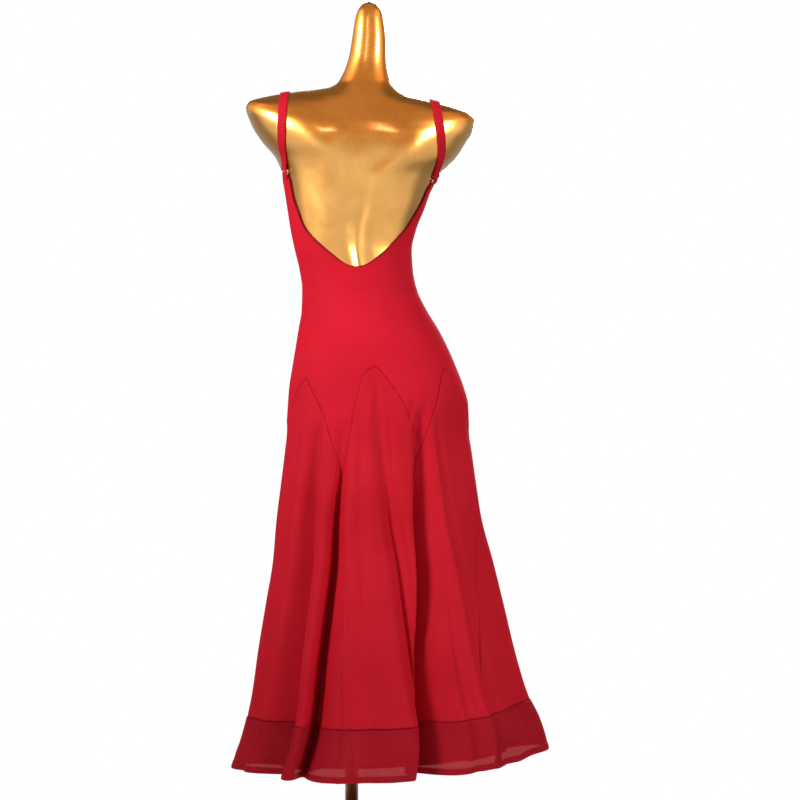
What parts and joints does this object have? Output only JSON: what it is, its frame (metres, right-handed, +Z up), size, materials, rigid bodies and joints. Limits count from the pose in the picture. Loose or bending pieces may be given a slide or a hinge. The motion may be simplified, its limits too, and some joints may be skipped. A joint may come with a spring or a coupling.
{
  "type": "dance dress on a limbless display form",
  "caption": "Long dance dress with an open back, narrow straps and arched skirt gores, on a limbless display form with a pole and round base.",
  "frame": {"origin": "centre of the round base's underside, on the pole's axis", "axes": "+Z up; the dress's front faces -Y; the wearer's left is +X"},
  "size_m": [0.6036, 0.528, 1.646],
  "materials": {
    "bodice_crepe": "matte stretch crepe, red",
    "skirt_georgette": "sheer crinkled georgette in two layers, red",
    "hem_georgette": "doubled georgette, darker red",
    "hem_binding": "rolled corded hem, dark red",
    "form_shell": "glossy gold lacquer over a moulded shell",
    "ring_wire": "bright nickel wire",
    "stand_steel": "dark bronzed steel"
  },
  "bodies": {
    "root": {"display_form": "form_shell", "bodice_back": "bodice_crepe", "bodice_front": "bodice_crepe", "strap_left": "bodice_crepe", "strap_right": "bodice_crepe", "ring_left": "ring_wire", "ring_right": "ring_wire", "gore_centre_back": "skirt_georgette", "gore_side_back_left": "skirt_georgette", "gore_side_front_left": "skirt_georgette", "gore_centre_front": "skirt_georgette", "gore_side_front_right": "skirt_georgette", "gore_side_back_right": "skirt_georgette", "hem_band_centre_back": "hem_georgette", "hem_band_side_back_left": "hem_georgette", "hem_band_side_front_left": "hem_georgette", "hem_band_centre_front": "hem_georgette", "hem_band_side_front_right": "hem_georgette", "hem_band_side_back_right": "hem_georgette", "hem_binding_centre_back": "hem_binding", "hem_binding_side_back_left": "hem_binding", "hem_binding_side_front_left": "hem_binding", "hem_binding_centre_front": "hem_binding", "hem_binding_side_front_right": "hem_binding", "hem_binding_side_back_right": "hem_binding", "stand_base": "stand_steel", "stand_collar": "stand_steel", "stand_flange": "stand_steel", "stand_pole": "stand_steel"}
  },
  "joints": []
}
